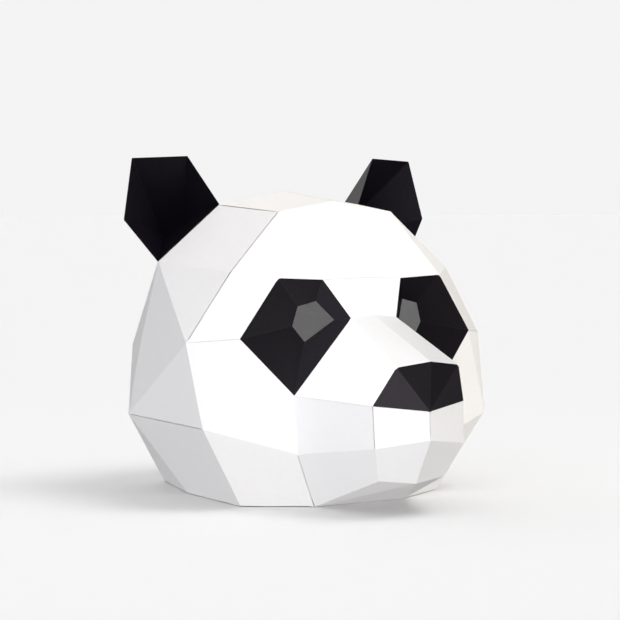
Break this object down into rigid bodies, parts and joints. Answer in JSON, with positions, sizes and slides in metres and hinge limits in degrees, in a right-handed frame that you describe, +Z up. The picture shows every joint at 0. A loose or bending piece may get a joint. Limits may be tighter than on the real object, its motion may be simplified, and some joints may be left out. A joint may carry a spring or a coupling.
{
  "type": "panda mask",
  "caption": "Hollow faceted panda head mask folded from white and black card, open below for the wearer's head, with open eye holes.",
  "frame": {"origin": "middle of the mask's footprint, on the surface it stands on", "axes": "+Z up, the face looks along -Y, +X is the wearer's left"},
  "size_m": [0.3074, 0.347, 0.2937],
  "materials": {
    "white_card": "matte white card",
    "black_card": "matte black card"
  },
  "bodies": {
    "root": {"forehead": "white_card", "muzzle_bridge": "white_card", "nose": "black_card", "crown_right": "white_card", "crown_left": "white_card", "side_panel_right": "white_card", "side_panel_left": "white_card", "cheek_right": "white_card", "cheek_left": "white_card", "jaw_right": "white_card", "jaw_left": "white_card", "lip_and_chin_right": "white_card", "lip_and_chin_left": "white_card", "back_panel_right": "white_card", "back_panel_left": "white_card", "nape_right": "white_card", "nape_left": "white_card", "eye_socket_right": "black_card", "eye_socket_left": "black_card", "ear_right": "black_card", "ear_left": "black_card"}
  },
  "joints": []
}
